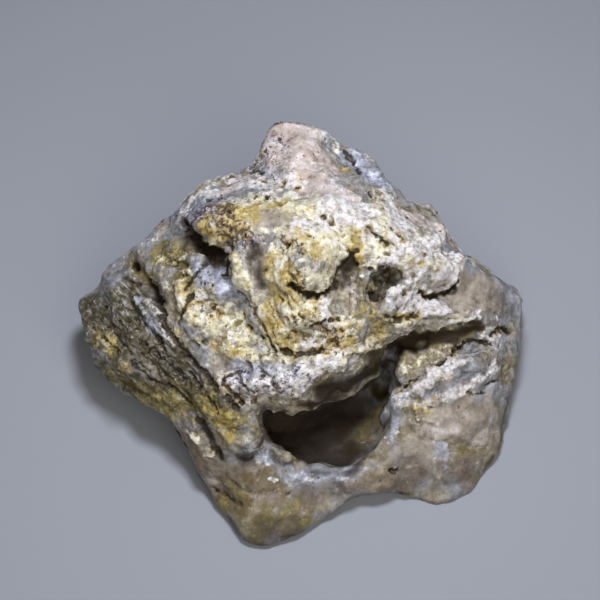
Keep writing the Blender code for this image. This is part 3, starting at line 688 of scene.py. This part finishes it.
flutes = [  # first line, last line, count, width in mm, depth in mm
    ([(347, 272), (350, 300), (350, 338)], [(386, 300), (384, 322), (376, 346)], 6, 0.6, -0.35),
    ([(262, 306), (272, 330), (282, 352)], [(284, 292), (294, 318), (304, 340)], 5, 0.6, -0.35),
    ([(282, 300), (296, 312), (310, 322)], [(296, 290), (306, 300), (318, 312)], 3, 0.5, -0.3),
    ([(104, 326), (128, 350), (150, 374)], [(136, 318), (164, 350), (190, 384)], 5, 0.7, -0.4),
]


def blendedLines(first, last, count):
    for step in range(count):
        share = step / (count - 1)
        yield [(a[0] + (b[0] - a[0]) * share, a[1] + (b[1] - a[1]) * share) for a, b in zip(first, last)]


# Small cracks and pits on the sides and the back, in mm
scattered = {
    "pits": 130, "pitWidths": (0.7, 1.5), "pitDepths": (0.3, 0.9),
    "cracks": 60, "crackWidths": (0.6, 1.3), "crackDepths": (-0.6, -0.45, -0.3, 0.25),
    "crackSteps": 4, "stepLength": 1.3, "wander": 0.35,
    "hidden": 0.6,  # they lie where the ground is at least this far round from the show face
    "seed": 5,
}


def scatteredStrokes(points, normals, setup):
    draw = random.Random(setup["seed"])
    hidden = np.flatnonzero(awayFromFace(normals) > setup["hidden"]).tolist()
    strokes = []
    for _ in range(setup["pits"]):
        spot = points[draw.choice(hidden)]
        strokes.append(([spot], draw.uniform(*setup["pitWidths"]), -draw.uniform(*setup["pitDepths"])))
    for _ in range(setup["cracks"]):
        line = [points[draw.choice(hidden)]]
        heading = Vector([draw.gauss(0, 1) for _ in range(3)]).normalized()
        for _ in range(setup["crackSteps"]):
            heading = (heading + Vector([draw.gauss(0, setup["wander"]) for _ in range(3)])).normalized()
            step = Vector(line[-1]) + heading * setup["stepLength"] * mm
            line.append(np.array(skinTree.find_nearest(step)[0]))
        strokes.append((line, draw.uniform(*setup["crackWidths"]), draw.choice(setup["crackDepths"])))
    return strokes


carvingSetup = {
    "pitWidth": 1.15,  # times each pit's own
    "pitDepth": -1.2,
    "ragged": (0.55, 0.34),  # size and most of the wander of the edges, in mm
    "unevenSize": 1.6,  # mm along a stroke between deep and shallow
    "unevenSeed": 9,
    "uneven": 0.7,
    "markWidth": 0.85,  # stain and painted shade reach this many widths from a stroke
    "markDepth": 0.6,  # mm, from which a stroke is as stained and shaded as it gets
}


def carve(piece, setup):
    points = pointsOf(piece)
    normals = pointsOf(piece, "normal")
    strokes = [(spotsOn(places), width, depth) for places, width, depth in carving.values()]
    strokes += [(spotsOn([place]), setup["pitWidth"] * width, setup["pitDepth"] * depth)
                for *place, width, depth in pits]
    for first, last, count, width, depth in flutes:
        strokes += [(spotsOn(line), width, depth) for line in blendedLines(first, last, count)]
    strokes += scatteredStrokes(points, normals, scattered)
    ragged = jostled(points, *setup["ragged"])
    uneven = 1 + setup["uneven"] * eachPoint(points, setup["unevenSize"], setup["unevenSeed"])
    move = np.zeros(len(points))
    marks = np.zeros(len(points))
    for line, width, depth in strokes:
        if line:
            move += depth * closeness(line, ragged, width / 2)
            if depth < 0:
                # deeper strokes carry more stain and more painted shade
                stainAndShade = min(1, -depth / setup["markDepth"])
                marks = np.maximum(marks, closeness(line, ragged, setup["markWidth"] * width) * stainAndShade)
    addAttribute(piece, "marks", marks)
    setPoints(piece, points + (move * uneven)[:, None] * mm * normals)
    return len(strokes)


print("carved", carve(stone, carvingSetup), "strokes")
soften(stone, *skin["lastSoftening"])


def keepInside(piece, box, margin):
    margin *= mm
    inside = np.clip(pointsOf(piece), np.array(box[0]) + [margin, margin, 0], np.array(box[1]) - margin)
    setPoints(piece, inside)


def thinTo(piece, triangles):
    bpy.context.view_layer.update()
    piece.data.calc_loop_triangles()
    share = triangles / len(piece.data.loop_triangles)
    if share < 1:
        applyModifier(piece, "DECIMATE", ratio=share)


thinTo(stone, skin["triangles"])
keepInside(stone, cadBox, skin["margin"])
makeActive(stone)
bpy.ops.object.mode_set(mode="EDIT")
bpy.ops.mesh.select_all(action="SELECT")
bpy.ops.mesh.normals_make_consistent(inside=False)
bpy.ops.object.mode_set(mode="OBJECT")
bpy.ops.object.shade_smooth()
stone.vertex_groups.clear()
print("stone has", len(stone.data.polygons), "faces")


# Rounds of averaging that give the surroundings which a point is measured from
surroundings = {"fineRelief": 6, "broadRelief": 60}


def relativeHeight(piece, rounds):
    # how far each point stands out from its surroundings, in mm
    points = pointsOf(piece)
    normals = pointsOf(piece, "normal")
    edges = np.empty(len(piece.data.edges) * 2, dtype=np.int64)
    piece.data.edges.foreach_get("vertices", edges)
    first, second = edges.reshape(-1, 2).T
    count = np.bincount(np.concatenate((first, second)), minlength=len(points))[:, None]
    mean = points.copy()
    for _ in range(rounds):
        total = np.empty_like(mean)
        for axis in range(3):
            total[:, axis] = (np.bincount(first, mean[second, axis], len(points))
                              + np.bincount(second, mean[first, axis], len(points)))
        mean = (mean + total) / (count + 1)
    return ((points - mean) * normals).sum(axis=1) / mm


for name, rounds in surroundings.items():
    addAttribute(stone, name, relativeHeight(stone, rounds))
print("attributes are on the stone")


def linear(hexColour):
    channels = [int(hexColour[start:start + 2], 16) / 255 for start in (1, 3, 5)]
    return tuple(c / 12.92 if c <= 0.04045 else ((c + 0.055) / 1.055) ** 2.4 for c in channels) + (1,)


def addNode(tree, kind, links=(), out=0, **settings):
    # links says what feeds each input, a socket or a plain value; settings go on the node itself
    node = tree.nodes.new("ShaderNode" + kind)
    for key, value in settings.items():
        setattr(node, key, value)
    pairs = links.items() if isinstance(links, dict) else enumerate(links)
    for place, source in pairs:
        if isinstance(source, bpy.types.NodeSocket):
            tree.links.new(source, node.inputs[place])
        else:
            node.inputs[place].default_value = source
    return node.outputs[out] if len(node.outputs) else None


def newMaterial(name):
    material = bpy.data.materials.new(name)
    material.use_nodes = True
    tree = material.node_tree
    tree.nodes.clear()
    return material, tree


def fillRamp(socket, stops):
    elements = socket.node.color_ramp.elements
    while len(elements) < len(stops):
        elements.new(0.5)
    for element, (place, colour) in zip(elements, stops):
        element.position = place
        element.color = linear(colour)
    return socket


# Weathered chalcedony, blown with sand: dull lime over waxy silica, with iron stain and painted shade in the low
# places.
# Sizes, heights and depths are in mm.
stoneFinish = {
    "groundWarm": [(0.32, "#443a29"), (0.45, "#776d58"), (0.55, "#9c9482"), (0.68, "#c0bbb0")],
    "groundCool": [(0.32, "#47484b"), (0.45, "#77797e"), (0.55, "#9799a1"), (0.68, "#bbc0cc")],
    "halo": [(0.34, "#856f35"), (0.5, "#bba158"), (0.66, "#dccb93")],
    "speck": "#46383a",
    "paleRib": "#bcc3cd",
    "rust": "#86703a",
    # painted shade in pits, cracks and hollows
    "paintedHollowShade": "#291f13",
    # painted shade over the shade zone, where shadows fall
    "cave": "#281d10",
    "tones": {"edge": 0.45, "flakes": 0.4, "grain": 0.15},  # what each pattern adds to a coat's light and dark
    "contrast": 1.35,  # and how strongly it shows
    "haloNear": {"ochre": 0.12, "violet": 0.15},  # stains that draw halos to them
    "speckNear": {"halo": 0.07, "violet": 0.15},  # and what draws specks
    "rustPatches": 0.6,  # how far rust keeps to the broad patches
    "blueNotLimed": 0.75,  # milky silica sheds this much of the lime's stains
    "polish": 0.6,  # flakes and bumps lost where the wind has polished
    "creaseSize": 1.7,
    "creaseDetail": 4,
    "creaseHeight": 0.12,
    "flakeHeight": 0.12,
    "grainHeight": 0.05,
    "limeRoughness": 0.78,  # bare silica is smoother, as its cover says
    "ior": 1.54,
    "specular": 0.28,
    "glow": 0.22,  # share of the light that sinks into the stone, and how deep
    "glowDepth": 1.0,
    "glowColour": (1.0, 0.7, 0.4),
}

# Noise in each pattern and on each coat's edge: size in mm, detail, roughness, and shift from the others
patterns = {
    "patches": (6.0, 3, 0.55, 0), "blotches": (1.7, 6, 0.62, 11), "flakes": (0.6, 4, 0.6, 23),
    "grain": (0.25, 2, 0.5, 37),  # sand grit is finer; drawn this coarse so that it shows
    "halos": (2.1, 5, 0.6, 83), "specks": (0.55, 3, 0.6, 71),
    "rib": (0.45, 5, 0.62, 3),  # drawn out along the ribs
    "olive": (1.6, 5, 0.65, 59), "warm": (3.0, 4, 0.65, 68), "cream": (1.0, 6, 0.65, 77),
    "silica": (1.8, 5, 0.65, 86), "blue": (1.6, 6, 0.65, 95), "rose": (1.8, 6, 0.65, 104),
    "chalk": (0.8, 6, 0.65, 113), "ochre": (0.8, 6, 0.65, 122), "violet": (0.7, 4, 0.65, 131),
}

# Coats, from the lowest up: zone, weight of the edge noise, where it starts and is whole, most cover, and colours
coats = [
    ("rib", 0.9, 0.3, 0.7, 1.0, [(0.32, "#262014"), (0.47, "#4d4734"), (0.57, "#6a6555"), (0.7, "#8b8b82")]),
    ("olive", 1.4, 0.35, 0.85, 0.9, [(0.34, "#352c15"), (0.5, "#6c6036"), (0.66, "#9d935c")]),
    ("warm", 1.2, 0.3, 0.9, 0.9, [(0.34, "#413628"), (0.46, "#615445"), (0.56, "#7b6f63"), (0.68, "#a0978f")]),
    ("cream", 2.2, 0.3, 0.75, 0.92, [(0.34, "#8f8560"), (0.45, "#c5be9c"), (0.55, "#e0dcc6"), (0.68, "#f2f0ea")]),
    ("silica", 1.2, 0.35, 0.7, 0.88, [(0.34, "#6a6156"), (0.5, "#968d82"), (0.66, "#c2bab3")]),
    ("blue", 1.6, 0.35, 0.9, 0.9, [(0.34, "#666a77"), (0.5, "#9ba0b2"), (0.66, "#d6dbe9")]),
    ("rose", 1.4, 0.3, 0.7, 0.95, [(0.34, "#88796f"), (0.45, "#b0a29c"), (0.55, "#c8bebb"), (0.66, "#e4e1e6")]),
    ("chalk", 2.4, 0.34, 0.8, 0.95, [(0.34, "#7f7a77"), (0.45, "#b9b5b2"), (0.56, "#dddce1"), (0.66, "#f0f0f4")]),
    ("ochre", 2.8, 0.45, 0.95, 0.85, [(0.34, "#645223"), (0.5, "#a38e45"), (0.66, "#cfc284")]),
    ("violet", 3.4, 0.7, 0.88, 0.95, [(0.36, "#2a1f21"), (0.47, "#5f5966"), (0.56, "#918ea0"), (0.66, "#ccccdc")]),
]

# Where each cover starts and is whole, and the most of it
covers = {
    "polished": (0.1, 0.8, 1), "frayed": (0.0, 0.2, 1.4), "coolGround": (0.4, 0.6, 1),
    "paleStreak": (0.55, 0.64, 1), "paleOnRib": (0.2, 0.9, 0.4),
    "haloRoundMark": (0.03, 0.3, 0.1), "halo": (0.59, 0.7, 1), "haloOnLime": (0.1, 0.6, 0.65),
    "speck": (0.645, 0.70, 0.85),
    "rustInMark": (0.12, 0.4, 1), "rustInLow": (-0.03, -0.14, 0.7),
    "rustPatch": (0.66, 0.95, 0.7), "rustOnLime": (0.1, 0.6, 1),
    # painted shade: over the shade zone, and in pits, cracks and hollows
    "cave": (0.15, 0.85, 0.96),
    "shelterInMark": (0.45, 0.75, 0.9), "shelterInLow": (-0.07, -0.25, 0.75), "shelterInDeep": (-0.5, -2.0, 0.6),
    "dullInShade": (0.1, 0.6, 1), "waxy": (0.2, 0.8, 0.42),
}


def stoneMaterial(setup):
    material, tree = newMaterial("weathered chalcedony, wind blasted")
    add = partial(addNode, tree)

    def summed(total, *parts):
        # the total plus each part times its weight
        for part, weight in parts:
            total = add("Math", (part, weight, total), operation="MULTIPLY_ADD")
        return total

    def joined(operation, *shares):
        # shares made into one; a pair of a source and a cover's name is first softened as the cover says
        total = None
        for share in shares:
            if isinstance(share, tuple):
                low, high, most = covers[share[1]]
                share = add("MapRange", (share[0], low, high, 0, most), interpolation_type="SMOOTHSTEP")
            total = share if total is None else add("Math", (total, share), operation=operation)
        return total

    def stained(under, stain, *shares):
        # a stain over the colour under it, where all its shares meet
        return add("Mix", {0: joined("MULTIPLY", *shares), 6: under, 7: stain}, 2, data_type="RGBA")

    inMm = add("Mapping", {"Vector": add("TexCoord", out="Object"), "Scale": (1 / mm,) * 3})
    alongRibs = add("Mapping", {"Vector": inMm, "Rotation": ribTurn(ribs), "Scale": (ribs["stretch"], 1, 1)},
                    vector_type="TEXTURE")
    pattern = {}
    for name, (size, detail, roughness, shift) in patterns.items():
        moved = add("Mapping", {"Vector": alongRibs if name == "rib" else inMm, "Location": (shift,) * 3})
        pattern[name] = add("TexNoise", {"Vector": moved, "Scale": 1 / size, "Detail": detail,
                                         "Roughness": roughness})
    field = {name: add("Attribute", out="Fac", attribute_name=name) for name in (*zones, *surroundings, "marks")}
    fine = field["fineRelief"]
    tones = setup["tones"]
    contrast = setup["contrast"]

    polished = joined("MULTIPLY", (field["smooth"], "polished"))
    grain = add("Mix", {0: polished, 2: pattern["grain"], 3: 0.5})
    flakes = add("Mix", {0: summed(0, (polished, setup["polish"])), 2: pattern["flakes"], 3: 0.5})
    frayed = joined("MULTIPLY", (field["marks"], "frayed"))
    marks = summed(field["marks"], (summed(-0.5, (flakes, 1)), frayed))

    # bare silica, warm in some patches and cool in others
    tone = add("Mix", {0: 0.5, 2: pattern["blotches"], 3: flakes})
    warm = fillRamp(add("ValToRGB", (tone,)), setup["groundWarm"])
    cool = fillRamp(add("ValToRGB", (tone,)), setup["groundCool"])
    colour = stained(warm, cool, (pattern["patches"], "coolGround"))

    grit = summed(0.5 - 0.5 * contrast, (flakes, tones["flakes"] * contrast), (grain, tones["grain"] * contrast))
    for zone, weight, low, high, most, stops in coats:
        hold = summed(field[zone], (pattern[zone], weight))
        if zone in ("cream", "chalk"):
            hold = summed(hold, (fine, 1))
        middle = weight / 2  # what the edge noise adds on average
        cover = add("MapRange", (hold, low + middle, high + middle, 0, most), interpolation_type="SMOOTHSTEP")
        shade = summed(grit, (pattern[zone], tones["edge"] * contrast))
        colour = stained(colour, fillRamp(add("ValToRGB", (shade,)), stops), cover)

    colour = stained(colour, linear(setup["paleRib"]), (pattern["rib"], "paleStreak"), (field["rib"], "paleOnRib"))

    # yellow halos in the lime, with dark specks of silica in them
    limed = joined("MAXIMUM", field["cream"], field["chalk"])
    limed = joined("MULTIPLY", limed, summed(1, (field["blue"], -setup["blueNotLimed"])))
    halos = summed(pattern["halos"], *((field[zone], weight) for zone, weight in setup["haloNear"].items()))
    halos = joined("ADD", halos, (marks, "haloRoundMark"))
    halo = joined("MULTIPLY", (halos, "halo"), (limed, "haloOnLime"))
    colour = stained(colour, fillRamp(add("ValToRGB", (flakes,)), setup["halo"]), halo)
    near = setup["speckNear"]
    specks = summed(pattern["specks"], (halo, near["halo"]), (field["violet"], near["violet"]))
    colour = stained(colour, linear(setup["speck"]), (specks, "speck"))

    # rust gathers round pits and in low places, and painted shade darkens the shadowed places, pits, cracks and
    # hollows
    rust = joined("MAXIMUM", (marks, "rustInMark"), (fine, "rustInLow"))
    broadRust = summed(pattern["blotches"], (pattern["patches"], setup["rustPatches"]))
    colour = stained(colour, linear(setup["rust"]), rust, (broadRust, "rustPatch"), (limed, "rustOnLime"))
    # painted shade: dark brown over the shade zone, where shadows fall
    colour = stained(colour, linear(setup["cave"]), (field["shade"], "cave"))
    # painted shade in pits, cracks and hollows, where shadow falls
    paintedHollowShade = joined("MAXIMUM", (marks, "shelterInMark"), (fine, "shelterInLow"),
                     (field["broadRelief"], "shelterInDeep"))
    colour = stained(colour, linear(setup["paintedHollowShade"]), paintedHollowShade)

    # bare silica has a sheen, lime is dull
    waxy = joined("MAXIMUM", *(field[name] for name in ("silica", "blue", "rib", "warm", "smooth")))
    lit = summed(1, (joined("MULTIPLY", (field["shade"], "dullInShade")), -1))
    waxy = joined("MULTIPLY", waxy, lit)
    roughness = summed(setup["limeRoughness"], (joined("MULTIPLY", (waxy, "waxy")), -1))

    creases = add("TexNoise", {"Vector": inMm, "Scale": 1 / setup["creaseSize"], "Detail": setup["creaseDetail"]},
                  noise_type="RIDGED_MULTIFRACTAL")
    height = summed(0, (flakes, setup["flakeHeight"] * mm), (grain, setup["grainHeight"] * mm),
                    (creases, -setup["creaseHeight"] * mm))
    height = joined("MULTIPLY", height, summed(1, (polished, -setup["polish"])))
    bump = add("Bump", {"Strength": 1.0, "Distance": 1.0, "Height": height})
    shader = add("BsdfPrincipled", {
        "Base Color": colour, "Roughness": roughness, "Normal": bump,
        "IOR": setup["ior"], "Specular IOR Level": setup["specular"], "Subsurface Weight": setup["glow"],
        "Subsurface Radius": setup["glowColour"], "Subsurface Scale": setup["glowDepth"] * mm,
    })
    add("OutputMaterial", {"Surface": shader})
    return material


stone.data.materials.append(stoneMaterial(stoneFinish))
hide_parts("stone")
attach(stone, "root")
print("stone is finished")


# Uncoated paper, matt all over: an even pale ground. Its width is in metres.
floorSetup = {"width": 3.0, "colour": "#959aa5", "roughness": 0.9}


def addFloor(setup):
    deselectAll()
    bpy.ops.mesh.primitive_plane_add(size=setup["width"])
    floor = bpy.context.object
    floor.name = "floor"
    material, tree = newMaterial("matt paper")
    paper = addNode(tree, "BsdfPrincipled", {"Base Color": linear(setup["colour"]), "Roughness": setup["roughness"]})
    addNode(tree, "OutputMaterial", {"Surface": paper})
    floor.data.materials.append(material)


addFloor(floorSetup)

# Places are in mm from the middle of the stone's footprint, sizes in mm, power in watts
lightAim = (0, 0, 10)
lights = {
    "key": {"place": (6, 4, 172), "size": 30, "power": 0.235, "colour": "#f7f8ff"},
    "fill": {"place": (75, -230, 270), "size": 300, "power": 0.64, "colour": "#fff8ec"},
}


def addLight(name, setup):
    place = Vector(setup["place"]) * mm
    toStone = Vector(lightAim) * mm - place
    bpy.ops.object.light_add(type="AREA", location=place, rotation=toStone.to_track_quat("-Z", "Y").to_euler())
    light = bpy.context.object
    light.name = name
    light.data.size = setup["size"] * mm
    light.data.energy = setup["power"]
    light.data.color = linear(setup["colour"])[:3]


for name, setup in lights.items():
    addLight(name, setup)

studio = {"colour": "#f0ece4", "strength": 0.1}
world = bpy.data.worlds.new("studio")
world.use_nodes = True
background = world.node_tree.nodes["Background"]
background.inputs["Color"].default_value = linear(studio["colour"])
background.inputs["Strength"].default_value = studio["strength"]
bpy.context.scene.world = world
bpy.context.scene.view_settings.view_transform = "Standard"
print("floor and lights are in place")
